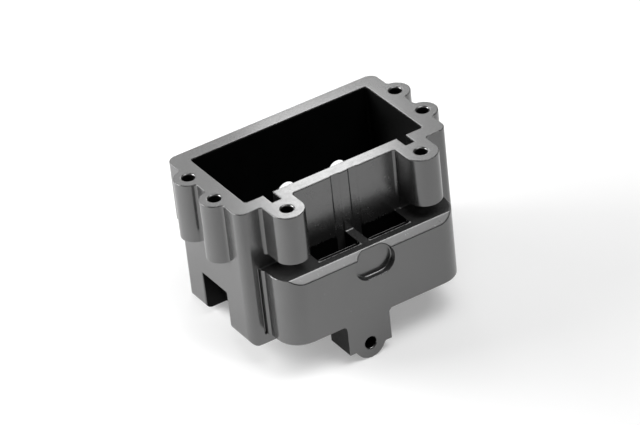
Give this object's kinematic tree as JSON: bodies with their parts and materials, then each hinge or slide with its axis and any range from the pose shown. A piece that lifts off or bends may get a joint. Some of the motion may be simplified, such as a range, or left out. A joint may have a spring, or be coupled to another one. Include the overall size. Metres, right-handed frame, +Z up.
{
  "type": "servo case",
  "caption": "Moulded open-topped box that holds a servo by its ears, with screw bosses on the rim, lugs, a windowed front block and a foot tab.",
  "frame": {"origin": "centre of the servo's ear screw holes, on the flat rim", "axes": "+X along the servo, +Y from the front block towards the back wall, +Z up out of the pocket"},
  "size_m": [0.0558, 0.0362, 0.0389],
  "materials": {
    "moulding": "satin black glass-filled nylon"
  },
  "bodies": {
    "root": {"servo_case": "moulding"}
  },
  "joints": []
}
